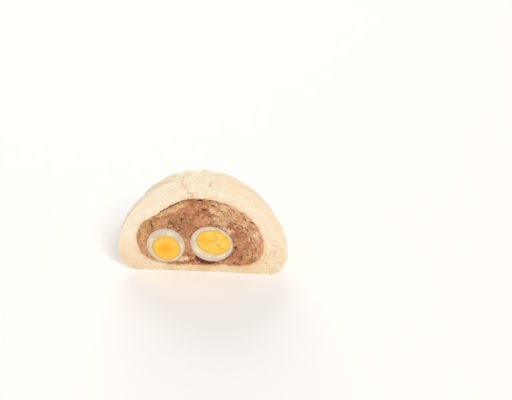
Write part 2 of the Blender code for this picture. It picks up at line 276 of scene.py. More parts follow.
def crumbMaterial(name, glow):  # glow: how much light passes through
    material, start = newMaterial(name)
    look = crumbLook
    cloud = grain(start, 8.0, 3.0, 0.6).step(0.32, 0.72)
    speckle = grain(start, 1.15, 4.0, 0.7).step(0.36, 0.7)
    seam, torn = attribute(start, "seam"), attribute(start, "torn")
    large, small = pits(start, look["bubble"]), pits(start, look["fineBubble"], 0.16, 0.5)
    broken = pits(start, look["brokenBubble"], 0.16, 0.5) * (0.25 + 0.2 * torn)
    pit = start.math("MAXIMUM", large * 0.9, start.math("MAXIMUM", small * 0.55, broken))
    colour = (cloud * look["clouded"] + speckle * look["speckled"]).blend(look["light"], look["warm"])
    place = start.node("ShaderNodeTexCoord", output="Object")
    # painted shade and warm bounce light: the crumb darker and warmer towards the bottom
    height = start.node("ShaderNodeSeparateXYZ", {}, {"Vector": place}, 2) / mm
    colour = (height.step(*look["lowShadeHeights"]) * (0.45 + 0.3 * cloud)).blend(colour, look["low"])
    # painted light: the torn corner lighter and warmer, against the shade in its rough crumb
    colour = (torn * look["tornLightShare"]).blend(colour, look["tornLight"])
    # painted shade in the open bubbles and along the fold seams
    colour = (pit * look["pitShadeShare"] + seam * (0.22 + 0.5 * speckle)).blend(colour, look["pit"])
    colour = (attribute(start, "soak") * (0.25 + 0.75 * cloud)).blend(colour, look["soaked"])
    coarse = bump(start, 0.0 - pit - speckle * 0.5, *look["coarse"])
    finish(start, colour, {**look, "glow": (glow, look["radius"], look["glowSize"])}, coarse, look["rough"])
    return material


# The dough: a pleated skin round the back, the cut face, and the pocket for the filling

bun = {
    "radius": 54.8, "belly": 16.0, "top": 67.0, "foot": 41.0,  # the dome, in mm
    "round": 1.24, "rise": 1.11, "lean": -3.2,
    "footEdge": math.radians(64),
    "rows": 160, "columns": 240,  # of the skin's grid
    "finer": 4, "rings": 42,  # of the cut face
    "edgeInset": 0.45, "edgeDrop": 0.22,  # the soft edge between skin and cut
    "tornSpot": (50.0, 9.0), "tornReach": (5.0, 17.0), "tornSquash": 0.85,
    "soak": 1.5, "lip": (0.25, 0.35), "fade": 1.4,  # beside the filling
    "pocket": 36.0, "wallRings": 14,  # the hollow behind it
}
pleats = {
    "Pleats": 16, "Pleat depth": 3.0, "Twist": 16.0, "First pleat": 9.0, "Spread": 0.17,
    "Start": 0.2, "Full": 0.56, "Sharpness": 0.42, "Lopsided": 0.22,
    "Knob radius": 13.0, "Knob height": 3.5, "Knob roundness": 1.6, "Moat": 0.2,
    "Knob ridges": 5, "Ridge height": 0.6, "Swirl": 2.4, "Dimple": 0.6, "Dimple radius": 3.0,
    "Pore size": 2.1, "Pore depth": 0.3, "Grain depth": 0.15, "Torn depth": 0.62,
    "Unevenness": 0.55,
}

# The filling's outline in the cut, from the right and anticlockwise: across and up, in mm.
fillingOutline = [
    (38.9, 19.5), (38.6, 25.0), (36.8, 31.0), (33.4, 37.2), (28.6, 42.0), (22.6, 46.2), (15.8, 49.6),
    (8.0, 51.9), (-0.4, 53.0), (-8.6, 52.2), (-15.8, 49.6), (-22.4, 45.6), (-28.6, 40.4), (-33.6, 37.4),
    (-36.8, 35.2), (-39.8, 31.0), (-41.5, 26.0), (-42.0, 20.8), (-40.4, 14.8), (-35.6, 9.4), (-27.6, 6.2),
    (-18.0, 5.4), (-7.6, 5.2), (3.4, 5.2), (14.0, 6.2), (24.0, 6.0), (31.6, 7.4), (36.8, 12.6),
]
fillingCentre = (-1.5, 26.0)
seams = [  # where the pinched folds run down into the crumb
    [(-11.4, 66.0), (-11.9, 62.2), (-9.6, 59.6), (-7.6, 57.6), (-5.8, 55.0)],
    [(6.8, 65.6), (6.4, 63.6), (5.8, 61.6)],
]


def domeProfile(latitude, fullness=0.0):  # pressed down in the cut, a full dome away from it
    upper = np.clip(latitude, 0, math.pi / 2)
    out = bun["radius"] * np.cos(upper) ** (bun["round"] + (1 - bun["round"]) * fullness)
    rise = np.sin(upper) ** (bun["rise"] + (1 - bun["rise"]) * fullness)
    height = bun["belly"] + (bun["top"] - bun["belly"]) * rise
    turn = np.clip(-latitude / bun["footEdge"], 0, 1) * math.pi / 2
    edgeOut = bun["foot"] + (bun["radius"] - bun["foot"]) * np.cos(turn)
    edgeHeight = bun["belly"] * (1 - np.sin(turn))
    flat = np.clip((math.pi / 2 + latitude) / (math.pi / 2 - bun["footEdge"]), 0, 1)
    out = np.where(latitude >= 0, out, np.where(flat < 1, bun["foot"] * flat, edgeOut))
    return out, np.where(latitude >= 0, height, edgeHeight)


def evenLatitudes(count):  # rows evenly apart along the profile, wider on the foot
    dense = np.linspace(-math.pi / 2, math.pi / 2, 4001)
    out, height = domeProfile(dense)
    length = np.hypot(np.diff(out), np.diff(height))
    length *= np.where(dense[1:] < -bun["footEdge"], 0.5, 1.0)
    length *= np.where(dense[1:] > math.radians(70), 1.7, 1.0)
    along = np.concatenate([[0], np.cumsum(length)])
    return np.interp(np.linspace(0, along[-1], count), along, dense)


def outlineRadius(angle):  # the filling's outline as a smooth curve round its centre
    across, up = np.array(fillingOutline).T - np.array(fillingCentre)[:, None]
    known = np.unwrap(np.arctan2(up, across))
    reach = np.hypot(across, up)
    known = np.concatenate([known - 2 * math.pi, known, known + 2 * math.pi])
    reach = np.tile(reach, 3)
    angle = np.mod(angle - known[len(fillingOutline)], 2 * math.pi) + known[len(fillingOutline)]
    index = np.clip(np.searchsorted(known, angle, "right") - 1, 1, len(known) - 3)
    share = (angle - known[index]) / (known[index + 1] - known[index])
    a, b, c, d = reach[index - 1], reach[index], reach[index + 1], reach[index + 2]
    smooth = b + 0.5 * share * (c - a + share * (2 * a - 5 * b + 4 * c - d + share * (3 * (b - c) + d - a)))
    ragged = [noise.noise(Vector((math.cos(t) * 9, math.sin(t) * 9, 3))) * 0.5
              + noise.noise(Vector((math.cos(t) * 24, math.sin(t) * 24, 7))) * 0.35 for t in angle]
    return smooth + np.array(ragged)


def seamDepth(points):  # 1 on a fold line in the crumb, 0 away from it
    best = np.full(len(points), 99.0)
    for line in seams:
        for (ax, az), (bx, bz) in zip(line, line[1:]):
            step = np.array([bx - ax, bz - az])
            share = np.clip(((points - (ax, az)) @ step) / (step @ step), 0, 1)
            best = np.minimum(best, np.linalg.norm(points - (ax, az) - share[:, None] * step, axis=1))
    near = best < 4
    patchy = np.zeros(len(points))
    patchy[near] = [0.62 + 0.75 * noise.noise(Vector((x / 1.3, 4.0, z / 1.3))) for x, z in points[near]]
    wander = np.zeros(len(points))
    wander[near] = [noise.noise(Vector((x / 1.7, 9.0, z / 1.7))) for x, z in points[near]]
    return np.clip(patchy, 0, 1) * np.exp(-(np.abs(best + 0.9 * wander - 0.3) / 0.75) ** 2)


def stitch(faces, fine, coarse):  # joins a ring to one with fewer points
    count, finer = len(coarse), len(fine) // len(coarse)
    for index in range(count):
        here, after = coarse[index], coarse[(index + 1) % count]
        run = [fine[(index * finer + i) % len(fine)] for i in range(finer + 1)]
        middle = finer // 2
        faces += [(here, run[i], run[i + 1]) for i in range(middle)]
        faces.append((here, run[middle], after))
        faces += [(after, run[i], run[i + 1]) for i in range(middle, finer)]


def bridge(faces, first, second):  # quads between two rings with as many points
    for index in range(len(first)):
        after = (index + 1) % len(first)
        faces.append((first[index], first[after], second[after], second[index]))


def leanAt(height):
    return bun["lean"] * (height / bun["top"]) ** 2


def doughMesh(materials):
    rows, columns = bun["rows"], bun["columns"]
    latitudes = evenLatitudes(rows + 1)
    out, height = domeProfile(latitudes)
    lean = leanAt(height)
    blocks = []  # points and their facts, block by block

    def add(x, y, z, around, reach, tall, slope, fold, seam=0.0, torn=0.0, soak=0.0, cut=0.0):
        start = sum(len(block) for block in blocks)
        fields = np.broadcast_arrays(x, y, z, around, reach, tall, slope, fold, seam, torn, soak, cut)
        blocks.append(np.stack(fields, axis=-1).reshape(-1, 12))
        return list(range(start, start + len(blocks[-1])))

    footPole = add(lean[:1], bun["edgeDrop"], 0.0, 0.0, 0.0, 0.0, -math.pi / 2, 1.0)[0]
    topPole = add(lean[-1:], bun["edgeDrop"], bun["top"], 0.0, 0.0, bun["top"], math.pi / 2, 1.0)[0]
    around = np.linspace(0, math.pi, columns + 1)
    grid = []
    for row in range(1, rows):
        reach, tall = domeProfile(latitudes[row], smoothStep(0.0, 1.0, np.sin(around)))
        deep = np.maximum(reach * np.sin(around), np.minimum(bun["edgeDrop"], reach))
        x = reach * np.cos(around) + leanAt(tall)
        grid.append(add(x, deep, tall, around, reach, tall, latitudes[row], 1.0))
    faces = []
    for low, high in zip(grid, grid[1:]):
        faces += [(low[i], low[i + 1], high[i + 1], high[i]) for i in range(columns)]
    faces += [(footPole, grid[0][i + 1], grid[0][i]) for i in range(columns)]
    faces += [(topPole, grid[-1][i], grid[-1][i + 1]) for i in range(columns)]

    # The outline of the cut, right side up and left side down, then the same more finely.
    order = [*range(1, rows), rows, *range(rows - 1, 0, -1), 0]
    outline = [grid[row - 1][0] for row in range(1, rows)] + [topPole]
    outline += [grid[row - 1][columns] for row in range(rows - 1, 0, -1)] + [footPole]
    share = np.tile(np.arange(bun["finer"]) / bun["finer"], 2 * rows)
    first = np.repeat(np.arange(2 * rows), bun["finer"])
    second = (first + 1) % (2 * rows)

    def between(values):
        return values[first] + (values[second] - values[first]) * share

    reach, tall, slope = (between(values[order]) for values in (out, height, latitudes))
    way = np.where(np.arange(2 * rows) < rows, 1.0, -1.0)
    x = between(out[order] * way + lean[order])
    z = tall
    side = np.where((first < rows - 1) | (first == 2 * rows - 1), 0.0, math.pi)
    centre = np.array(fillingCentre)
    angle = np.arctan2(z - centre[1], x - centre[0])
    inner = outlineRadius(angle) + 0.15
    innerX, innerZ = centre[0] + inner * np.cos(angle), centre[1] + inner * np.sin(angle)
    width = np.hypot(innerX - x, innerZ - z)
    rings = []
    for ring in range(bun["rings"] + 1):
        inset = bun["edgeInset"] / width
        part = inset + (1 - inset) * ring / bun["rings"]
        ringX, ringZ = x + (innerX - x) * part, z + (innerZ - z) * part
        away = np.hypot(ringX - bun["tornSpot"][0], (ringZ - bun["tornSpot"][1]) * bun["tornSquash"])
        torn = 1 - smoothStep(*bun["tornReach"], away)
        seam = seamDepth(np.stack([ringX, ringZ], axis=1))
        soak = np.exp(-(1 - part) * width / bun["soak"])
        edge = bun["lip"][0] * np.exp(-(1 - part) * width / bun["lip"][1])
        fold = np.maximum(1 - part, 0) ** bun["fade"]
        rings.append(add(ringX, edge, ringZ, side, reach, tall, slope, fold, seam, torn, soak, 1.0))
    stitch(faces, rings[0], outline)
    skinFaces = len(faces)
    for nearer, further in zip(rings, rings[1:]):
        bridge(faces, nearer, further)
    wall, last = bun["wallRings"], None  # the pocket's own wall, hidden behind the filling
    coarse = slice(None, None, bun["finer"])
    for ring in range(1, wall + 1):
        turn = ring / wall * math.pi / 2
        wallX = centre[0] + (innerX[coarse] - centre[0]) * math.cos(turn)
        wallZ = centre[1] + (innerZ[coarse] - centre[1]) * math.cos(turn)
        if ring == wall:
            pole = add(np.array([centre[0]]), bun["pocket"], centre[1], 0.0, 0.0, 0.0, 0.0, 0.0)[0]
            faces += [(pole, last[i - 1], last[i]) for i in range(len(last))]
        else:
            made = add(wallX, bun["pocket"] * math.sin(turn), wallZ, 0.0, 0.0, 0.0, 0.0, 0.0)
            if last:
                bridge(faces, last, made)
            else:
                stitch(faces, rings[-1], made)
            last = made
    table = np.concatenate(blocks)
    dough = meshObject("dough_steamed", table[:, :3], faces, materials)
    names = ("around", "reach", "height", "slope", "fold", "seam", "torn", "soak", "crumb")
    for column, name in enumerate(names):
        paint(dough, name, table[:, 3 + column])
    layer = dough.data.attributes.new("onCut", "FLOAT", "FACE")
    layer.data.foreach_set("value", (np.arange(len(faces)) >= skinFaces).astype(np.float32))
    turnOutwards(dough)
    return dough


def doughTree(materials):
    tree, start, inputs = nodeTree("pleatedDough", pleats)
    around, reach, height, slope = (named(start, name) for name in ("around", "reach", "height", "slope"))
    fold, crumb, torn, seam = (named(start, name) for name in ("fold", "crumb", "torn", "seam"))
    degree = math.pi / 180
    share = height / bun["top"]

    wave = {"Scale": 1 / 9.0, "Detail": 2.0}
    fine = {"Scale": 1 / 0.8, "Detail": 3.0}
    rough = {"Scale": 1 / 2.6, "Detail": 3.0}
    spot = start.node("GeometryNodeInputPosition")
    waves, fines, roughs = (
        start.node("ShaderNodeTexNoise", {}, {"Vector": spot, **values}) for values in (wave, fine, rough))

    def edge(index):  # where a pleat begins, in pleats from the first
        turns = start.math("FLOORED_MODULO", index, inputs["Pleats"])
        return index + inputs["Spread"] * (turns * 2.39 + 0.6).sin()

    def depth(index):
        turns = start.math("FLOORED_MODULO", index, inputs["Pleats"])
        return 0.3 * (turns * 1.71 + 2.1).sin() + 0.86

    turned = around - inputs["First pleat"] * degree + inputs["Twist"] * degree * (1 - share)
    turned = turned * inputs["Pleats"] / (2 * math.pi)
    nearest = start.math("ROUND", turned)
    index = nearest - start.math("LESS_THAN", turned, edge(nearest))
    part = (turned - edge(index)) / (edge(index + 1) - edge(index))
    lopsided = part + inputs["Lopsided"] * part * (1 - part)
    valley = 1 - (lopsided * math.pi).sin() ** inputs["Sharpness"]
    strength = share.step(inputs["Start"], inputs["Full"])
    strength = strength * reach.step(inputs["Knob radius"] * 0.5, inputs["Knob radius"] * 2.1)
    drawn = inputs["Pleat depth"] * valley * strength * (depth(index) * (1 - part) + depth(index + 1) * part)
    upper = start.math("MAXIMUM", slope, 0.0)
    nearKnob = start.math("MINIMUM", (reach - drawn * upper.cos()) / inputs["Knob radius"], 1.0)
    rise = inputs["Knob height"] * (1 - nearKnob * nearKnob) ** inputs["Knob roundness"]
    ridge = (inputs["Knob ridges"] * around + inputs["Swirl"] * nearKnob * (math.pi / 2)).cos()
    rise = rise + inputs["Ridge height"] * ridge * (nearKnob * math.pi).sin() ** 2.0
    rise = rise - inputs["Dimple"] * (1 - reach.step(0.0, inputs["Dimple radius"]))
    moat = (reach / inputs["Knob radius"] - 1.1) / 0.22
    rise = rise - inputs["Moat"] * start.math("EXPONENT", 0.0 - moat * moat)
    rise = rise * start.math("GREATER_THAN", slope, 0.0)
    drawn = drawn + inputs["Unevenness"] * (waves - 0.5) * 2.0 * share.step(0.02, 0.2)
    inwards = drawn * upper.cos() * fold

    def pores(size, kept):  # round hollows, in some of the cells of this size
        values = {"Vector": spot, "Scale": 1 / size}
        cell = start.node("ShaderNodeTexVoronoi", {}, values, "Distance")
        colour = start.node("ShaderNodeTexVoronoi", {}, values, "Color")
        draw = start.node("FunctionNodeSeparateColor", {}, {"Color": colour}, 0)
        return cell.step(0.46, 0.16) * draw.step(kept, kept + 0.15) * (0.4 + 0.6 * draw)

    small = pores(inputs["Pore size"] * 0.62, 0.1)
    large = pores(inputs["Pore size"], 0.3)
    broken = pores(inputs["Pore size"] * 2.3, 0.3) * torn
    deep = large * inputs["Pore depth"] + small * inputs["Pore depth"] * 0.45
    deep = deep + (fines - 0.5) * 2.0 * inputs["Grain depth"] + (waves - 0.5) * 0.5
    deep = deep + torn * (roughs - 0.42) * 2.0 * inputs["Torn depth"] + broken * inputs["Torn depth"] * 0.5
    deep = (deep + seam * (0.15 + 1.1 * fines.step(0.4, 0.7))) * crumb
    offset = start.node("ShaderNodeCombineXYZ", {}, {
        "X": 0.0 - inwards * around.cos() - torn * broken * 0.3,
        "Y": deep - inwards * around.sin(),
        "Z": (rise - drawn * start.math("SINE", upper)) * fold,
    })
    geometry = moved(start, inputs["Geometry"], offset)
    # the creases, where the skin's colour is darkened as painted shade
    geometry = stored(start, geometry, "crease", valley * strength * fold * (1 - crumb))
    endTree(start, geometry, materials[0], materials[1])
    return tree


def lump(start, seed):  # a small uneven pebble of a few dozen faces
    ball = start.node("GeometryNodeMeshUVSphere", {}, {"Segments": 8, "Rings": 5, "Radius": 1.0})
    values = {"Vector": start.node("GeometryNodeInputPosition"), "W": seed, "Scale": 0.9}
    uneven = start.node("ShaderNodeTexNoise", {"noise_dimensions": "4D"}, values, "Color")
    push = start.node("ShaderNodeVectorMath", {"operation": "SUBTRACT"}, {0: uneven, 1: (0.5, 0.5, 0.5)})
    push = start.node("ShaderNodeVectorMath", {"operation": "SCALE"}, {0: push, "Scale": 1.3})
    return start.node("GeometryNodeSetShadeSmooth", {}, {"Geometry": moved(start, ball, push)})


def pick(start, kind, low, high, seed):  # a random value for each point
    output = {"FLOAT": 1, "FLOAT_VECTOR": 0}[kind]
    first = 2 if kind == "FLOAT" else 0
    values = {first: low, first + 1: high, "Seed": seed}
    return start.node("FunctionNodeRandomValue", {"data_type": kind}, values, output)


def anyTurn(start, seed):
    return pick(start, "FLOAT_VECTOR", (0, 0, 0), (6.28, 6.28, 6.28), seed)


def spread(start, inputs, fields):  # points on the faces, thick where both fields are high
    thick = named(start, fields[0]) * named(start, fields[1])
    values = {"Mesh": inputs["Geometry"], "Density": thick * inputs["Density"], "Seed": inputs["Seed"]}
    return start.node("GeometryNodeDistributePointsOnFaces", {"distribute_method": "RANDOM"}, values)


def strewn(start, points, part, size, seed, turn, widest=(1.4, 1.0, 1.1), several=False):
    shape = pick(start, "FLOAT_VECTOR", (0.8, 0.6, 0.6), widest, seed)
    scale = start.node("ShaderNodeVectorMath", {"operation": "SCALE"}, {0: shape, "Scale": size})
    values = {"Points": points, "Instance": part, "Pick Instance": several, "Rotation": turn, "Scale": scale}
    return start.node("GeometryNodeInstanceOnPoints", {}, values)


def crumbTree(name, material, numbers, fields):
    tree, start, inputs = nodeTree(name, numbers)
    own = pick(start, "FLOAT", 0.0, 1.0, inputs["Seed"] + 5)  # how pale each lump is
    points = stored(start, spread(start, inputs, fields), "own", own)
    parts = start.node("GeometryNodeGeometryToInstance")
    for seed in (0.0, 5.0, 11.0):
        tree.links.new(lump(start, seed).socket, parts.socket.node.inputs[0])
    size = pick(start, "FLOAT", 0.0, 1.0, inputs["Seed"] + 1) ** 2.0
    size = inputs["Smallest"] + (inputs["Largest"] - inputs["Smallest"]) * size
    turn = anyTurn(start, inputs["Seed"] + 3)
    lumps = strewn(start, points, parts, size, inputs["Seed"] + 2, turn, (1.5, 0.9, 1.1), True)
    endTree(start, lumps, material)
    return tree


def copyOf(made, name):
    copy = bpy.data.objects.new(name, made.data.copy())
    bpy.context.scene.collection.objects.link(copy)
    return copy


def settle(made):  # from the bun's millimetres to the frame's metres
    made.data.transform(Matrix.Translation(axis) @ Matrix.Scale(mm, 4))
    made.data.update()
    return made


doughCrumbs = {"Density": 0.9, "Smallest": 0.35, "Largest": 1.0, "Seed": 7}

print("dough")
doughFinish = [skinMaterial(), crumbMaterial("cutCrumb", 0.2)]
dough = doughMesh(doughFinish)
dough = runTree(dough, doughTree(doughFinish), pleats)
tornTree = crumbTree("doughCrumbs", crumbMaterial("looseCrumb", 0.0), doughCrumbs, ("torn", "crumb"))
looseDough = settle(runTree(copyOf(dough, "dough_crumbs"), tornTree, doughCrumbs))
settle(dough)


# The filling: chunks of pork and fat cut flat by the knife, with mince packed round them

tints = {
    "fat": srgb(219, 174, 117), "mauve": srgb(172, 101, 65), "rosy": srgb(199, 117, 76),
    "tan": srgb(201, 143, 90), "amber": srgb(199, 132, 80), "onion": srgb(211, 171, 130),
    "cream": srgb(236, 195, 147), "dark": srgb(150, 88, 52), "mince": srgb(186, 126, 75),
    "straw": srgb(220, 163, 106), "soaked": srgb(212, 148, 76), "broth": srgb(206, 130, 60),
    # the deep tint is painted shade, laid into the gaps, crevices and recesses of the filling
    "deep": srgb(88, 42, 24), "shredPink": srgb(236, 180, 140), "shredPale": srgb(246, 208, 168),
    "shredTan": srgb(230, 172, 124),
}
chunks = {  # across, up, half width, half height, tilt, proud, tint
    "fatSlab": (-18.7, 44.6, 13.0, 3.0, 27, 0.5, "fat"),
    "mauvePork": (-17.4, 39.4, 6.8, 3.8, 14, 0.2, "mauve"),
    "rosyPork": (-7.4, 44.6, 6.0, 4.2, 12, 0.7, "rosy"),
    "leftPork": (-26.4, 34.0, 7.0, 4.4, 38, 0.3, "tan"),
    "topPork": (0.8, 48.4, 4.6, 3.0, -4, 0.4, "rosy"),
    "amberPork": (-0.4, 37.0, 6.4, 4.2, 18, 0.9, "amber"),
    "onion": (12.4, 38.0, 7.2, 4.4, -16, 0.6, "onion"),
    "creamFat": (8.8, 43.8, 5.6, 2.5, -22, 0.7, "cream"),
    "middlePork": (-9.0, 30.6, 6.0, 5.4, 50, 0.1, "mauve"),
    "darkPork": (23.2, 28.6, 4.6, 5.4, -48, 0.2, "mauve"),
    "rightPork": (26.0, 21.0, 5.8, 8.0, 14, 0.4, "mince"),
    "bandPork": (23.6, 40.8, 4.8, 3.2, -34, 0.7, "shredTan"),
    "rimPork": (34.2, 27.4, 3.6, 3.6, 0, 0.6, "shredPale"),
    "lowSlab": (29.8, 9.8, 8.2, 2.6, 13, 0.5, "broth"),
    "leftRim": (-37.6, 27.6, 3.0, 6.2, -8, 0.3, "straw"),
    "leftLow": (-36.8, 14.6, 3.2, 5.0, 24, 0.2, "tan"),
    "betweenEggs": (-9.2, 19.0, 3.4, 7.4, 4, -0.2, "tan"),
    "lowPork": (-13.2, 9.0, 5.6, 2.8, 4, 0.4, "shredPale"),
    "underEgg": (17.6, 8.0, 5.6, 2.2, 6, 0.1, "tan"),
    "onionBit": (20.2, 30.6, 2.6, 1.8, -30, 0.9, "cream"),
    "topBit": (-5.6, 49.6, 3.4, 1.5, 8, 0.3, "rosy"),
    "leftStrand": (-34.6, 34.6, 2.4, 1.6, 60, 0.4, "cream"),
    "paleStrand": (32.4, 35.4, 2.8, 1.1, -14, 0.5, "cream"),
    "paleMash": (16.2, 31.2, 4.2, 1.9, -45, 0.3, "shredPale"),
}
mince = {
    # the slot by the dough is sunk and also darkened there as painted shade
    "rimDrop": 0.05, "rimStain": 0.6, "slotDepth": 1.9, "slotShade": 0.75,
    "slotArcs": ((92, 104, 146, 156), (44, 54, 70, 80)),  # where the meat has drawn back from the dough
    "bareDepth": 3.4,  # behind the eggs and the sliver
    "spacing": 2.3, "jitter": 0.9, "size": (0.7, 2.1), "sunk": (-0.4, 0.7), "seed": 23,
    "edgeDrop": 0.38, "edgeWidth": 0.45, "holeDepth": 2.0, "crevice": 0.22, "blur": 0.26,
    "bandCentre": (4.0, 22.0), "bandRadii": (24.5, 34.5), "bandSquash": 0.86,
    "rings": 128, "recess": 0.5, "tuck": 0.4,
}
gaps = [  # gaps between the pieces, sunk and painted in shade: across, up, half sizes, tilt
    (-12.6, 37.6, 2.6, 0.55, 52), (2.6, 44.9, 2.6, 0.45, 8), (22.2, 36.0, 2.6, 0.5, -34),
    (29.0, 31.8, 1.5, 0.7, -8), (21.4, 18.8, 0.8, 1.5, 10), (31.6, 37.6, 1.9, 0.5, -22),
    (-0.8, 51.8, 2.4, 0.6, -6), (15.4, 42.4, 2.4, 0.4, -26), (25.6, 33.4, 1.9, 0.4, -52),
    (-31.8, 32.2, 0.5, 2.4, 14), (27.6, 13.4, 3.4, 0.4, 18), (8.4, 48.4, 2.6, 0.4, -12),
    (18.9, 46.1, 2.2, 0.35, -28), (27.4, 39.6, 2.0, 0.4, -42), (29.8, 34.6, 1.6, 0.4, -60),
    (33.6, 32.0, 1.4, 0.35, -58), (31.4, 26.4, 0.4, 1.6, 8), (11.6, 50.0, 2.0, 0.3, -14),
]
sliver = {"centre": (1.9, 1.8, 9.6), "half": (6.8, 6.0, 3.4), "tilt": -17, "proud": 0.1, "detail": 5}
relief = {"Fibre depth": 0.14, "Grain depth": 0.08, "Fibre size": 0.75, "Fibre stretch": 5.0}

eggs = {
    "left": {
        "centre": (-23.6, 0.6, 18.6), "width": 24.6, "length": 31.0, "turn": 6, "roll": 0,
        "yolk": (8.9, 8.7), "shift": (0.5, -1.8), "cracks": [],
        "core": (-0.6, -0.6, 5.0), "warmth": 1.0,
    },
    "right": {
        "centre": (6.7, 0.4, 20.8), "width": 25.2, "length": 31.5, "turn": -42, "roll": 12,
        "yolk": (11.0, 8.8), "shift": (0.6, 1.6), "warmth": 0.25,
        "cracks": [
            [(0.6, 6.4), (1.2, 5.2), (2.3, 4.0), (1.9, 2.2), (1.2, 0.6),
             (2.2, -0.6), (2.6, -2.4), (3.8, -4.0), (5.4, -5.0)],
            [(1.4, 1.2), (0.4, 0.7), (-0.8, 1.2)], [(2.4, -1.2), (4.0, -1.6), (5.2, -1.0)],
        ],
        "core": (-4.4, 0.4, 4.6),
    },
}
eggTaper, eggProud, yolkProud, yolkRoll = 0.1, 0.28, 0.44, math.radians(14)


def eggTurn(egg):
    turn = Matrix.Rotation(math.radians(egg["turn"]), 3, "Z") @ Matrix.Rotation(-math.pi / 2, 3, "X")
    return np.array(Matrix.Rotation(math.radians(egg["roll"]), 3, "Y") @ turn)


def outsideEgg(egg, points):  # how far a point is outside an egg, below 0 within it
    local = (points - np.array(egg["centre"])) @ eggTurn(egg)
    along = local[..., 2] / (egg["length"] / 2)
    slope = np.arcsin(np.clip(along, -1, 1))
    out = egg["width"] / 2 * np.cos(slope) * (1 - eggTaper * np.sin(slope))
    beyond = np.maximum(np.abs(along) - 1, 0) * egg["length"] * 3
    return np.hypot(local[..., 0], local[..., 1]) - out + beyond


def reachEgg(egg, origin, ways):  # from a point inside, how far it is to the egg's skin
    low, high = np.zeros(ways.shape[:-1]), np.full(ways.shape[:-1], 30.0)
    for _ in range(32):
        middle = (low + high) / 2
        inside = outsideEgg(egg, origin + ways * middle[..., None]) < 0
        low, high = np.where(inside, middle, low), np.where(inside, high, middle)
    return low


def roughly(points, size, seed=0.0):  # smooth noise from -1 to 1 at each point
    return np.array([noise.noise(Vector((x / size, seed, z / size))) for x, z in points])


def bandAt(x, z):  # how much a place lies in the band of loose shreds
    centre, (low, high) = mince["bandCentre"], mince["bandRadii"]
    up = (z - centre[1]) / mince["bandSquash"]
    radius, angle = np.hypot(x - centre[0], up), np.degrees(np.arctan2(up, x - centre[0]))
    ring = smoothStep(low - 2, low + 1, radius) * (1 - smoothStep(high, high + 3, radius))
    band = ring * smoothStep(-34, -20, angle) * (1 - smoothStep(76, 92, angle))
    return band, np.radians(angle) + math.pi / 2


def arc(angle, begins, begun, ends, ended):  # 1 along part of the rim, in degrees
    return smoothStep(begins, begun, angle) * (1 - smoothStep(ends, ended, angle))


def inOval(spots, middle, half, tilt):  # 0 in the middle of a tilted oval, 1 on its edge
    c, s = math.cos(math.radians(tilt)), math.sin(math.radians(tilt))
    dx, dz = spots[:, 0] - middle[0], spots[:, 1] - middle[1]
    return np.hypot((dx * c + dz * s) / half[0], (dz * c - dx * s) / half[1])


def meatCells():  # every piece in the cut: chunks, then the mince between them
    draw = random.Random(mince["seed"])
    cells = []
    for x, z, wide, high, tilt, proud, tint in chunks.values():
        cells.append((x, z, wide, high, math.radians(tilt), -proud, 0.0, np.array(tints[tint][:3])))
    row, z = 0, 3.0
    while z < 55:
        x = -44 + (row % 2) * mince["spacing"] / 2
        while x < 42:
            spotX = x + draw.uniform(-1, 1) * mince["jitter"]
            spotZ = z + draw.uniform(-1, 1) * mince["jitter"]
            size, turn, stretch = draw.uniform(*mince["size"]), draw.uniform(0, math.pi), draw.uniform(1, 1.5)
            sunk, shine, choice = draw.uniform(*mince["sunk"]), draw.uniform(0.78, 1.14), draw.random()
            band, flow = bandAt(spotX, spotZ)
            names = ["mince", "dark", "mauve", "tan", "rosy"]
            if band > 0.5:
                names = ["shredTan", "shredPink", "shredTan", "shredPale", "shredPink", "rosy"]
                turn, stretch = flow + draw.uniform(-0.45, 0.45), draw.uniform(1.4, 3.0)
                sunk, size, shine = sunk * 1.1 - 0.35, size * 0.9, shine * 0.5 + 0.55
            elif spotX < -33:
                names = ["straw", "tan", "soaked", "mince"]
                turn, stretch = math.pi / 2 + turn / 4, stretch * 1.5
            tint = np.array(tints[names[int(choice * len(names))]][:3]) * shine
            cells.append((spotX, spotZ, size * stretch, size, turn, sunk, 0.4 * size, tint))
            x += mince["spacing"]
        z += mince["spacing"] * 0.87
        row += 1
    return cells


def packed(spots):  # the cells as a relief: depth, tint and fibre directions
    warp = np.stack([roughly(spots, 4.6, 1.5), roughly(spots, 4.6, 8.5)], axis=1) * 0.9
    warp += np.stack([roughly(spots, 1.5, 3.5), roughly(spots, 1.5, 5.5)], axis=1) * 0.4
    x, z = (spots + warp).T
    count = len(spots)
    nearest, second = np.full(count, 9.0), np.full(count, 9.0)
    total, depth, tint = np.zeros(count), np.zeros(count), np.zeros((count, 3))
    along, across, whole = np.zeros(count), np.zeros(count), np.zeros(count)
    for index, (cellX, cellZ, wide, high, turn, sunk, bulge, colour) in enumerate(meatCells()):
        c, s = math.cos(turn), math.sin(turn)
        u, v = (x - cellX) * c + (z - cellZ) * s, (z - cellZ) * c - (x - cellX) * s
        reach = np.hypot(u / wide, v / high)
        gap = np.minimum((reach - 1) * reach / (np.hypot(u / wide ** 2, v / high ** 2) + 1e-9), 8.0)
        weight = np.exp(-gap / mince["blur"])
        total += weight
        depth += weight * (sunk - bulge * np.clip(1 - reach * reach, 0, 1))
        tint += weight[:, None] * colour
        whole += weight * (bulge == 0.0)
        closer = gap < nearest
        second = np.where(closer, nearest, np.minimum(second, gap))
        nearest = np.where(closer, gap, nearest)
        along, across = np.where(closer, u, along), np.where(closer, v + 37.0 * index, across)
    return nearest, second, depth / total, tint / total[:, None], along, across, whole / total


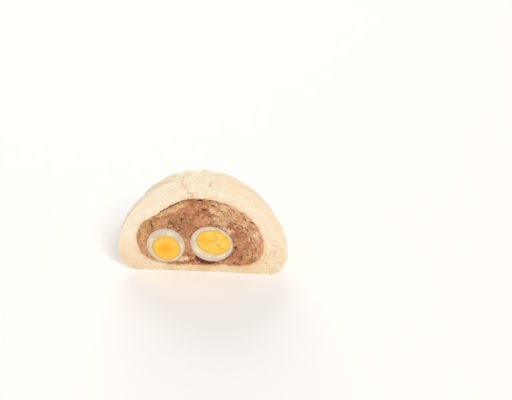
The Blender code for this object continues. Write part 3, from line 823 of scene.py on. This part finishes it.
def fillingMesh(material):
    rings, centre = mince["rings"], np.array(fillingCentre)
    spots, share, faces = [centre[None, :]], [np.zeros(1)], []
    for ring in range(1, rings + 1):
        angle = 2 * math.pi * np.arange(8 * ring) / (8 * ring)
        reach = (outlineRadius(angle) + mince["tuck"]) * ring / rings
        spots.append(centre + reach[:, None] * np.stack([np.cos(angle), np.sin(angle)], axis=1))
        share.append(np.maximum(outlineRadius(angle) - reach, 0.0))
    starts = np.cumsum([0] + [len(block) for block in spots])
    faces += [(0, 1 + (i + 1) % 8, 1 + i) for i in range(8)]
    for ring in range(1, rings):
        inner, outer, more = starts[ring], starts[ring + 1], ring + 1
        for part in range(8):
            for i in range(more):
                far = [outer + (part * more + i + step) % (8 * more) for step in (0, 1)]
                near = [inner + (part * ring + i + step) % (8 * ring) for step in (0, 1)]
                faces.append((near[0], far[1], far[0]))
                if i < ring:
                    faces.append((near[0], near[1], far[1]))
    spots, fromRim = np.concatenate(spots), np.concatenate(share)
    nearest, second, depth, tint, along, across, whole = packed(spots)
    inside = np.maximum(-nearest, 0)
    edge = np.exp(-inside / mince["edgeWidth"])
    seam = np.exp(-((second - nearest) / 0.32) ** 2)
    hole = smoothStep(0.0, 1.3, nearest)
    for gapX, gapZ, wide, high, tilt in gaps:
        reach = inOval(spots, (gapX, gapZ), (wide, high), tilt)
        hole = np.maximum(hole, 1 - smoothStep(0.5, 1.25, reach + 0.35 * roughly(spots, 1.1, gapX)))
    y = mince["recess"] + depth + mince["edgeDrop"] * edge
    y = y + mince["holeDepth"] * hole + mince["crevice"] * seam
    y += 0.35 * roughly(spots, 9.0, 2.2)
    angle = np.degrees(np.arctan2(spots[:, 1] - centre[1], spots[:, 0] - centre[0]))
    upperLeft, upperRight = (arc(angle, *bounds) for bounds in mince["slotArcs"])
    slot = (upperLeft + 0.6 * upperRight) * (1 - smoothStep(0.4, 0.9, fromRim))
    slot *= smoothStep(-0.45, 0.15, roughly(spots, 3.4, 5.0))
    y += mince["rimDrop"] * np.exp(-(fromRim / 0.6) ** 2) + mince["slotDepth"] * slot
    rim = mince["rimStain"] * np.exp(-(fromRim / 1.0) ** 2) * (1 - upperLeft)  # meat beside the dough
    tint = tint + rim[:, None] * (np.array(tints["straw"][:3]) - tint)
    bare, room = np.zeros(len(spots)), np.ones(len(spots))
    where = np.stack([spots[:, 0], np.zeros(len(spots)), spots[:, 1]], axis=1)
    for egg in eggs.values():
        out = outsideEgg(egg, where)
        bare = np.maximum(bare, 1 - smoothStep(-0.8, -0.1, out))
        y += (np.maximum(y, 0.12) - y + 0.05) * np.exp(-(np.maximum(out, 0) / 0.6) ** 2)
        room *= smoothStep(0.7, 1.4, out)
    out = inOval(spots, sliver["centre"][::2], sliver["half"][::2], sliver["tilt"])
    bare = np.maximum(bare, 1 - smoothStep(0.86, 1.0, out))
    y = y * (1 - bare) + mince["bareDepth"] * bare
    # painted shade: the gaps, the crevices between pieces, the slot by the dough and the deepest places
    # darkened
    dark = 0.2 * seam * smoothStep(0.0, 0.6, edge) + hole
    dark = np.clip(dark + mince["slotShade"] * slot + 0.3 * smoothStep(1.0, 2.4, y), 0, 1)
    last = starts[-2] + np.arange(8 * rings)
    points = [np.stack([spots[:, 0], y, spots[:, 1]], axis=1)]
    made, wall, count = list(last), 12, len(spots)
    for ring in range(1, wall):  # the hidden back, in the shape of the pocket
        turn = ring / wall * math.pi / 2
        back = centre + (spots[last[::8]] - centre) * math.cos(turn)
        points.append(np.stack([back[:, 0], 2 + 33 * np.full(len(back), math.sin(turn)), back[:, 1]], axis=1))
        now = list(range(count, count + len(back)))
        (stitch if ring == 1 else bridge)(faces, made, now)
        made, count = now, count + len(now)
    points.append(np.array([[centre[0], 35.0, centre[1]]]))
    faces += [(count, made[i - 1], made[i]) for i in range(len(made))]
    points = np.concatenate(points)
    filling = meshObject("filling_packed", points, faces, [material])
    hidden = len(points) - len(spots)
    fields = {"along": along, "across": across, "dark": dark, "bare": bare, "whole": whole}
    fields["band"] = bandAt(spots[:, 0], spots[:, 1])[0]
    fields["flow"] = np.where(spots[:, 0] < -32, math.pi / 2, bandAt(spots[:, 0], spots[:, 1])[1])
    fields["front"] = np.ones(len(spots))
    fields["mixed"] = 1 - 0.9 * whole  # the mince between the larger pieces
    fields["room"] = room * (1 - bare) * smoothStep(0.5, 1.3, fromRim)  # where loose bits may lie
    for name, values in fields.items():
        paint(filling, name, np.concatenate([values, np.zeros(hidden)]))
    colour = np.concatenate([np.clip(tint, 0, 1), np.ones((len(spots), 1))], axis=1)
    back = np.tile(np.array(tints["mince"]), (hidden, 1))
    paint(filling, "tint", np.concatenate([colour, back]), "FLOAT_COLOR")
    turnOutwards(filling)
    return filling


def fillingTree(material):
    tree, start, inputs = nodeTree("cutMeat", relief)
    along, across, front, bare = (named(start, name) for name in ("along", "across", "front", "bare"))
    spot = start.node("ShaderNodeCombineXYZ", {}, {
        "X": along / (inputs["Fibre size"] * inputs["Fibre stretch"]), "Y": across / inputs["Fibre size"]})
    fibre = start.node("ShaderNodeTexNoise", {}, {"Vector": spot, "Scale": 1.0, "Detail": 2.0})
    where = start.node("GeometryNodeInputPosition")
    grains = start.node("ShaderNodeTexNoise", {}, {"Vector": where, "Scale": 1 / 0.9, "Detail": 3.0})
    deep = (fibre - 0.5) * 2.0 * inputs["Fibre depth"] * named(start, "whole")
    deep = (deep + (grains - 0.5) * 2.0 * inputs["Grain depth"]) * front * (1 - bare)
    offset = start.node("ShaderNodeCombineXYZ", {}, {"Y": deep})
    endTree(start, moved(start, inputs["Geometry"], offset), material)
    return tree


porkLook = {
    "fibre": (2.8, 0.55), "speckle": 1.2, "patch": 3.2, "blotch": 2.0,  # sizes in mm
    "fibreBump": (0.13, 0.4), "gapShadeShare": 0.9,
    "bumps": [(0.7, 3.0, 0.5, 0.06, 0.35)], "rough": (1.4, 0.34, 0.22),
    "glow": (0.35, (1.0, 0.62, 0.4), 1.0), "specular": 0.4, "coat": (0.45, 0.14),
}


def porkMaterial():
    material, start = newMaterial("moistPork")
    look = porkLook
    length, width = look["fibre"]
    values = {"X": attribute(start, "along") / length, "Y": attribute(start, "across") / width}
    spot = start.node("ShaderNodeCombineXYZ", {}, values)
    values = {"Vector": spot, "Scale": 1.0, "Detail": 3.0, "Roughness": 0.6}
    fibre = start.node("ShaderNodeTexNoise", {}, values)
    speckle, patch = grain(start, look["speckle"], 3.0, 0.6), grain(start, look["patch"], 2.0, 0.5)
    blotch, own = grain(start, look["blotch"], 3.0, 0.6), attribute(start, "own")
    layers = [  # source, from, to, share and tint, each over the one before
        (fibre, 0.42, 0.7, 0.42, "cream"), (speckle, 0.48, 0.7, 0.46, "dark"),
        (speckle, 0.47, 0.3, 0.3, "cream"), (own, 0.6, 1.0, 0.6, "cream"),
        (patch, 0.5, 0.75, 0.35, "amber"), (blotch, 0.5, 0.68, 0.42, "dark"),
        (blotch, 0.48, 0.32, 0.38, "cream"),
    ]
    colour = attribute(start, "tint", "Color")
    for source, low, high, share, tint in layers:
        colour = (source.step(low, high) * share).blend(colour, tints[tint])
    # painted shade in the gaps and crevices, by the dark mask
    colour = (attribute(start, "dark") * look["gapShadeShare"]).blend(colour, tints["deep"])
    finish(start, colour, look, bump(start, fibre, *look["fibreBump"]))
    return material


# Loose bits on the filling's face: crumbs of pork, shreds in the band, and pepper

crumbs = {"Density": 0.55, "Smallest": 0.35, "Largest": 0.95, "Seed": 4}
shreds = {"Density": 0.3, "Smallest": 0.45, "Largest": 1.0, "Seed": 9}
pepper = {"Smallest": 0.32, "Largest": 0.58, "Seed": 2}
yolkBitSizes = {"Smallest": 0.3, "Largest": 0.6, "Seed": 5}
pepperSpots = [(-22.2, 42.8), (-25.2, 32.7), (-15.1, 29.8), (-3.8, 42.4), (-11.4, 38.4), (-3.8, 32.6),
               (-16.6, 6.6), (2.2, 44.7), (22.4, 28.4), (15.4, 33.2), (27.4, 24.6), (-7.2, 24.2),
               (30.4, 17.6), (-9.8, 12.6), (-34.6, 24.0), (18.9, 45.2), (11.0, 46.8), (-20.4, 37.2)]


def shredTree(material, numbers):
    tree, start, inputs = nodeTree("porkShreds", numbers)
    values = {
        "Resolution": 6, "Start": (-1.6, 0.0, -0.2), "Middle": (0.3, -0.5, 1.1), "End": (1.6, 0.0, -0.2)}
    bow = start.node("GeometryNodeCurveQuadraticBezier", {}, values)
    along = start.node("GeometryNodeSplineParameter", output="Factor")
    slim = 0.3 + 0.7 * (along * math.pi).sin()
    bow = start.node("GeometryNodeSetCurveRadius", {}, {"Curve": bow, "Radius": slim})
    ring = start.node("GeometryNodeCurvePrimitiveCircle", {}, {"Resolution": 6, "Radius": 0.42})
    values = {"Curve": bow, "Profile Curve": ring, "Fill Caps": True}
    shred = start.node("GeometryNodeCurveToMesh", {}, values)
    shred = start.node("GeometryNodeSetShadeSmooth", {}, {"Geometry": shred})
    size = pick(start, "FLOAT", inputs["Smallest"], inputs["Largest"], inputs["Seed"] + 1)
    roll = pick(start, "FLOAT", 0.0, 6.28, inputs["Seed"] + 3)
    askew = pick(start, "FLOAT", -0.5, 0.5, inputs["Seed"] + 4)
    values = {"X": roll, "Y": askew - named(start, "flow"), "Z": askew * 0.4}
    turn = start.node("ShaderNodeCombineXYZ", {}, values)
    points = spread(start, inputs, ("band", "room"))
    endTree(start, strewn(start, points, shred, size, inputs["Seed"] + 2, turn), material)
    return tree


def speckTree(name, material, numbers):
    tree, start, inputs = nodeTree(name, numbers)
    size = pick(start, "FLOAT", inputs["Smallest"], inputs["Largest"], inputs["Seed"])
    turn = anyTurn(start, inputs["Seed"] + 2)
    bits = strewn(start, inputs["Geometry"], lump(start, 3.0), size, inputs["Seed"] + 1, turn)
    endTree(start, bits, material)
    return tree


def specks(name, spots, surface, material, numbers):  # one lump on a surface's face at each spot
    table = np.empty(len(surface.data.vertices) * 3, np.float32)
    surface.data.vertices.foreach_get("co", table)
    table = table.reshape(-1, 3)
    table = table[table[:, 1] < 6.0]
    points = []
    for x, z in spots:
        nearest = np.argmin((table[:, 0] - x) ** 2 + (table[:, 2] - z) ** 2)
        points.append((x, float(table[nearest, 1]), z))
    return runTree(meshObject(name, points, [], [material]), speckTree(name, material, numbers), numbers)


def plainMaterial(name, light, dark, size, rough, coat):
    material, start = newMaterial(name)
    colour = grain(start, size, 3.0, 0.6).step(0.35, 0.7).blend(dark, light)
    finish(start, colour, {
        "bumps": [(size * 0.6, 3.0, 0.5, 0.12, 0.7)], "rough": (size * 1.7, 0.3, rough),
        "glow": (0.08, (1.0, 0.4, 0.2), 0.8), "coat": (coat, 0.2),
    })
    return material


print("filling")
pork = porkMaterial()
filling = runTree(fillingMesh(pork), fillingTree(pork), relief)
looseCrumbs = runTree(
    copyOf(filling, "pork_crumbs"), crumbTree("porkCrumbs", pork, crumbs, ("mixed", "room")), crumbs)

looseShreds = runTree(copyOf(filling, "pork_shreds"), shredTree(pork, shreds), shreds)
pepperLook = plainMaterial("crackedPepper", srgb(86, 52, 34), srgb(38, 20, 14), 0.5, 0.4, 0.1)
pepperBits = specks("pepper_bits", pepperSpots, filling, pepperLook, pepper)


# The halved eggs

eggLook = {
    "columns": 160, "faceRings": 12, "yolkRings": 58, "socket": 2.6,
    "grainDepth": 0.15, "crackDepth": 0.16, "wobble": (0.018, 0.007), "whiteRelief": (0.16, 0.05),
}


def yolkEdge(egg, angle, grow=0.0):  # the yolk's outline in the cut
    wave = [noise.noise(Vector((math.cos(t) * 1.6, math.sin(t) * 1.6, egg["width"]))) * 0.03
            + noise.noise(Vector((math.cos(t) * 7, math.sin(t) * 7, 1))) * 0.008 for t in angle]
    wide, high = ((size + grow) * (1 + np.array(wave)) for size in egg["yolk"])
    x, z = wide * np.cos(angle), high * np.sin(angle)
    c, s = math.cos(yolkRoll), math.sin(yolkRoll)
    across = egg["centre"][0] + egg["shift"][0] + x * c + z * s
    return np.stack([across, egg["centre"][2] + egg["shift"][1] + z * c - x * s], axis=1)


def ringBody(name, rings, poles, material):  # a closed body of rings with as many points, and two poles
    count = len(rings[0])
    points = np.concatenate([[poles[0]], *rings, [poles[1]]])
    ids = [list(range(1 + index * count, 1 + (index + 1) * count)) for index in range(len(rings))]
    faces = [(0, 1 + (i + 1) % count, 1 + i) for i in range(count)]
    for first, second in zip(ids, ids[1:]):
        bridge(faces, first, second)
    faces += [(len(points) - 1, ids[-1][i], ids[-1][(i + 1) % count]) for i in range(count)]
    made = meshObject(name, points, faces, [material])
    turnOutwards(made)
    return made


def ringAt(spots, y):
    return np.stack([spots[:, 0], np.broadcast_to(y, len(spots)), spots[:, 1]], axis=1)


def eggWhite(side, material):
    egg, look = eggs[side], eggLook
    centre = np.array(egg["centre"])
    angle = 2 * math.pi * np.arange(look["columns"]) / look["columns"]
    face = np.array([centre[0], -eggProud, centre[2]])
    flat = np.stack([np.cos(angle), np.zeros_like(angle), np.sin(angle)], axis=1)
    broad, small = look["wobble"]
    wobble = 1 + broad * roughly(flat[:, ::2] * 2.0, 1.0, egg["width"])
    wobble = wobble + small * roughly(flat[:, ::2] * 7.0, 1.0, 2.0)
    reach = reachEgg(egg, face, flat) * wobble
    rim = (face + flat * reach[:, None])[:, ::2]
    hole = yolkEdge(egg, angle, 0.05)
    middle = (centre[0] + egg["shift"][0], look["socket"], centre[2] + egg["shift"][1])
    rings = [ringAt(hole, look["socket"]), ringAt(hole, 0.1 - eggProud)]
    edge = [0.0, 0.0]
    inset = rim + (hole - rim) * (0.7 / np.linalg.norm(hole - rim, axis=1))[:, None]
    for index in range(look["faceRings"] + 1):
        part = index / look["faceRings"]
        spots = hole + (inset - hole) * (0.02 + 0.98 * part)
        broad, small = look["whiteRelief"]
        y = -eggProud + broad * roughly(spots, 4.0, 6.0) + small * roughly(spots, 1.3, 2.0)
        rings.append(ringAt(spots, y))
        edge.append(part)
    start = face - centre
    tilt = np.arctan2(start[1], reach)
    for part, shrink in ((0.35, 0.03), (0.8, 0.14)):
        spots = inset + (rim - inset) * part
        rings.append(ringAt(spots, -eggProud + shrink))
        edge.append(1.0)
    for part in [0.012, 0.03, *np.linspace(0.06, 0.97, 22)]:
        lean = tilt + (math.pi / 2 - tilt) * part
        ways = np.stack([np.cos(angle) * np.cos(lean), np.sin(lean), np.sin(angle) * np.cos(lean)], axis=1)
        fade = 1 + (wobble - 1) * (1 - part)
        rings.append(centre + ways * (reachEgg(egg, centre, ways) * fade)[:, None])
        edge.append(1.0)
    back = np.array([[0.0, 1.0, 0.0]])
    pole = (centre + back * reachEgg(egg, centre, back)[:, None])[0]
    made = ringBody("egg_white_" + side + "_boiled", rings, [middle, pole], material)
    paint(made, "edge", [0.0, *np.repeat(edge, len(angle)), 1.0])
    return made


def lineReach(spots, line):  # how far each spot is from a broken line
    best = np.full(len(spots), 99.0)
    for first, second in zip(line, line[1:]):
        first, step = np.array(first), np.array(second) - np.array(first)
        share = np.clip((spots - first) @ step / (step @ step), 0, 1)
        best = np.minimum(best, np.linalg.norm(spots - first - share[:, None] * step, axis=1))
    return best


def yolk(side, material):
    egg, look = eggs[side], eggLook
    angle = 2 * math.pi * np.arange(look["columns"]) / look["columns"]
    middle = np.array([egg["centre"][0] + egg["shift"][0], egg["centre"][2] + egg["shift"][1]])
    outline = yolkEdge(egg, angle, 0.07)
    rings, edge, core, crackShade = [], [], [], []
    for index in range(look["yolkRings"] + 1):
        part = (index + 0.02) / (look["yolkRings"] + 0.02) * 0.985
        spots = middle + (outline - middle) * part
        local = spots - middle
        split = np.zeros(len(spots))
        for line in egg["cracks"]:
            shaken = np.stack([roughly(spots, 0.9, 1.0), roughly(spots, 0.9, 4.0)], axis=1)
            away = lineReach(local + 0.5 * shaken, line)
            split = np.maximum(split, np.exp(-(away / (0.4 + 0.3 * roughly(spots, 1.4, 3.0))) ** 2))
        coarse, fine = roughly(spots, 2.4, egg["width"]), roughly(spots, 0.62, egg["width"])
        y = -yolkProud + 0.13 * coarse + look["grainDepth"] * fine + look["crackDepth"] * split
        y += 0.08 * roughly(spots, 0.3, 2.0) * (1 - part ** 8) + 0.14 * smoothStep(0.9, 0.99, part) ** 2
        rings.append(ringAt(spots, y))
        edge.append(np.full(len(spots), smoothStep(0.74, 0.98, part + 0.05 * coarse)))
        x, z, radius = egg["core"]
        away = np.hypot(local[:, 0] - x, local[:, 1] - z) / radius
        core.append(1 - smoothStep(0.35, 1.25, away + 0.3 * coarse))
        # the cracks' mask, for painted shade in them
        crackShade.append(split)
    for y in (0.05 - eggProud, look["socket"] - 0.1):
        rings.append(ringAt(outline, y))
        for values, value in ((edge, 1.0), (core, 0.0), (crackShade, 0.0)):
            values.append(np.full(len(outline), value))
    front, pole = np.mean(rings[0], axis=0), (middle[0], look["socket"], middle[1])
    made = ringBody("yolk_" + side + "_boiled", rings, [front, pole], material)
    for name, values in (("edge", edge), ("core", core), ("crackShade", crackShade)):
        first = float(values[0][0])
        paint(made, name, [first, *np.concatenate(values), 1.0])
    return made


whiteLook = {
    "pale": srgb(242, 229, 208), "grey": srgb(208, 192, 170), "byYolk": srgb(236, 208, 152),
    "cloud": 6.0, "clouded": 0.8, "rimmed": 0.75,
    "bumps": [(1.6, 2.0, 0.5, 0.05, 0.5)], "rough": (3.0, 0.2, 0.2),
    "glow": (0.6, (1.0, 0.8, 0.6), 2.2), "coat": (0.25, 0.12),
}


def whiteMaterial():
    material, start = newMaterial("boiledWhite")
    look = whiteLook
    cloud = grain(start, look["cloud"], 2.0, 0.5).step(0.3, 0.7)
    edge = attribute(start, "edge")
    colour = (cloud * look["clouded"]).blend(look["pale"], look["grey"])
    colour = (1 - edge.step(0.0, 0.3)).blend(colour, look["byYolk"])
    colour = (edge.step(0.45, 1.0) * look["rimmed"]).blend(colour, look["grey"])
    finish(start, colour, look)
    return material


yolkLook = {
    "core": srgb(250, 176, 0), "middle": srgb(253, 196, 52), "pale": srgb(254, 218, 124),
    "edge": srgb(236, 180, 76), "crackShade": srgb(220, 146, 44),
    "patch": 2.6, "speckle": 0.55, "edgeShare": 0.75, "crackShadeShare": 0.6,
    "bumps": [(1.1, 3.0, 0.6, 0.22, 0.7), (0.35, 3.0, 0.7, 0.1, 0.8)],
    "glow": (0.2, (1.0, 0.55, 0.15), 1.2), "specular": 0.35,
}


def yolkMaterial(name, warmth):
    material, start = newMaterial(name)
    look = yolkLook
    patch = grain(start, look["patch"], 3.0, 0.6).step(0.35, 0.7)
    speckle = grain(start, look["speckle"], 3.0, 0.65).step(0.4, 0.75)
    colour = (patch * (1 - 0.5 * warmth)).blend(look["middle"], look["pale"])
    colour = (speckle * (0.45 - 0.15 * warmth)).blend(colour, look["pale"])
    core = attribute(start, "core") * (0.25 + 0.75 * warmth) * (0.7 + 0.3 * patch)
    colour = core.blend(colour, look["core"])
    colour = (attribute(start, "edge") * look["edgeShare"]).blend(colour, look["edge"])
    # painted shade in the yolk's cracks
    colour = (attribute(start, "crackShade") * look["crackShadeShare"]).blend(colour, look["crackShade"])
    finish(start, colour, look, rough=speckle * 0.2 + 0.46)
    return material


print("eggs")
white = whiteMaterial()
yellows = {side: yolkMaterial("boiledYolk_" + side, egg["warmth"]) for side, egg in eggs.items()}
whites = {side: eggWhite(side, white) for side in eggs}
yolks = {side: yolk(side, yellows[side]) for side in eggs}
yolkCrumb = plainMaterial("yolkCrumb", srgb(255, 232, 160), srgb(252, 216, 120), 0.6, 0.6, 0.0)
yolkBits = specks("yolk_bits", [(3.6, 12.2), (4.2, 12.0)], whites["right"], yolkCrumb, yolkBitSizes)


# A sliver of cured sausage under the right egg

def sliverMesh(material):
    work = bmesh.new()
    bmesh.ops.create_icosphere(work, subdivisions=sliver["detail"], radius=1.0)
    turn = Matrix.Rotation(math.radians(-sliver["tilt"]), 3, "Y")
    for vertex in work.verts:
        ball = vertex.co * (1 + 0.07 * noise.noise(vertex.co * 2.3) + 0.02 * noise.noise(vertex.co * 8))
        spot = turn @ Vector([size * value for size, value in zip(sliver["half"], ball)])
        vertex.co = Vector(sliver["centre"]) + spot
        face = -sliver["proud"] + 0.3 * noise.noise(vertex.co * 0.6) + 0.12 * noise.noise(vertex.co * 2.2)
        outside = float(outsideEgg(eggs["right"], np.array([vertex.co.x, 0.0, vertex.co.z])))
        vertex.co.y = max(vertex.co.y, face + 1.6 * (1 - float(smoothStep(-0.3, 0.5, outside))))
    mesh = bpy.data.meshes.new("sausage_sliver_cured")
    work.to_mesh(mesh)
    work.free()
    mesh.shade_smooth()
    mesh.materials.append(material)
    made = bpy.data.objects.new("sausage_sliver_cured", mesh)
    bpy.context.scene.collection.objects.link(made)
    return made


print("sliver")
cured = plainMaterial("curedSausage", srgb(134, 52, 4), srgb(88, 30, 2), 1.6, 0.5, 0.0)
sausage = sliverMesh(cured)
loose = (looseCrumbs, looseShreds, pepperBits)
for made in (filling, *loose, *whites.values(), *yolks.values(), yolkBits, sausage):
    settle(made)
    print(made.name, sum(len(face.vertices) - 2 for face in made.data.polygons))


# The studio

studio = {
    "azimuth": 4.5, "elevation": 28.0,  # the photograph's viewing angle, in degrees
    "distance": 0.75, "frameWidth": 0.331,  # metres, across the frame at the cut face
    "right": 53.4 * 0.000647, "up": 71.8 * 0.000647,  # from the bun's foot to the frame's middle
}


def makeCamera():
    side, tilt = math.radians(studio["azimuth"]), math.radians(studio["elevation"])
    back = Vector((math.sin(side) * math.cos(tilt), -math.cos(side) * math.cos(tilt), math.sin(tilt)))
    across = Vector((math.cos(side), math.sin(side), 0))
    upwards = back.cross(across)
    aim = Vector((0, axis.y, 0)) + across * studio["right"] + upwards * studio["up"]
    lens = bpy.data.cameras.new("camera")
    lens.sensor_width = 36.0
    lens.lens = 36.0 * studio["distance"] / studio["frameWidth"]
    lens.clip_start, lens.clip_end = 0.01, 20.0
    camera = bpy.data.objects.new("camera", lens)
    camera.location = aim + back * studio["distance"]
    camera.rotation_mode = "QUATERNION"
    camera.rotation_quaternion = (-back).to_track_quat("-Z", "Y")
    bpy.context.scene.collection.objects.link(camera)
    bpy.context.scene.camera = camera


def makeLight(name, position, softness, power, colour):
    lamp = bpy.data.lights.new(name, "SUN")
    lamp.angle, lamp.energy, lamp.color = math.radians(softness), power, colour
    made = bpy.data.objects.new(name, lamp)
    made.location = position
    made.rotation_mode = "QUATERNION"
    made.rotation_quaternion = (-Vector(position)).to_track_quat("-Z", "Y")
    bpy.context.scene.collection.objects.link(made)


def makeStudio():
    makeCamera()
    makeLight("key", (0.26, -0.42, 0.44), 24, 1.68, (1.0, 0.97, 0.93))
    makeLight("fill", (-0.6, -0.4, 0.4), 50, 0.25, (1.0, 0.98, 0.96))
    makeLight("back", (-0.14, 0.6, 0.3), 40, 1.15, (1.0, 0.965, 0.93))
    world = bpy.data.worlds.new("studio")
    world.use_nodes = True
    world.node_tree.nodes["Background"].inputs["Color"].default_value = (1.0, 0.99, 0.975, 1.0)
    wire = Wire(world.node_tree)
    glow = wire.node("ShaderNodeLightPath", output="Is Camera Ray") * 0.58 + 0.42  # a white backdrop
    world.node_tree.links.new(glow.socket, world.node_tree.nodes["Background"].inputs["Strength"])
    bpy.context.scene.world = world
    material, start = newMaterial("palePaper")
    look = {"specular": 0.2, "shine": ((1.0, 0.995, 0.985, 1.0), 0.07)}
    shade(start, (0.95, 0.948, 0.94, 1.0), 0.7, look=look)
    size = 40.0
    corners = [(-size, -size, 0), (size, -size, 0), (size, size, 0), (-size, size, 0)]
    floor = meshObject("floor", corners, [(0, 1, 2, 3)], [material], False)
    bpy.context.scene.view_settings.view_transform = "Standard"


print("studio")
makeStudio()

pieces = [
    (dough, "steamed_dough", "dough"), (looseDough, "steamed_dough", None),
    (filling, "pork", "filling"), (looseCrumbs, "pork", None),
    (looseShreds, "pork", None), (pepperBits, "pork", None), (sausage, "cured_sausage", "sausage_sliver"),
    (yolkBits, "yolk", None),
]
for side in eggs:
    pieces.append((whites[side], "egg_white", "egg_white_" + side))
    pieces.append((yolks[side], "yolk", "yolk_" + side))
for piece, slot, node in pieces:
    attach(piece, "root")
    if node:
        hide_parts(node)
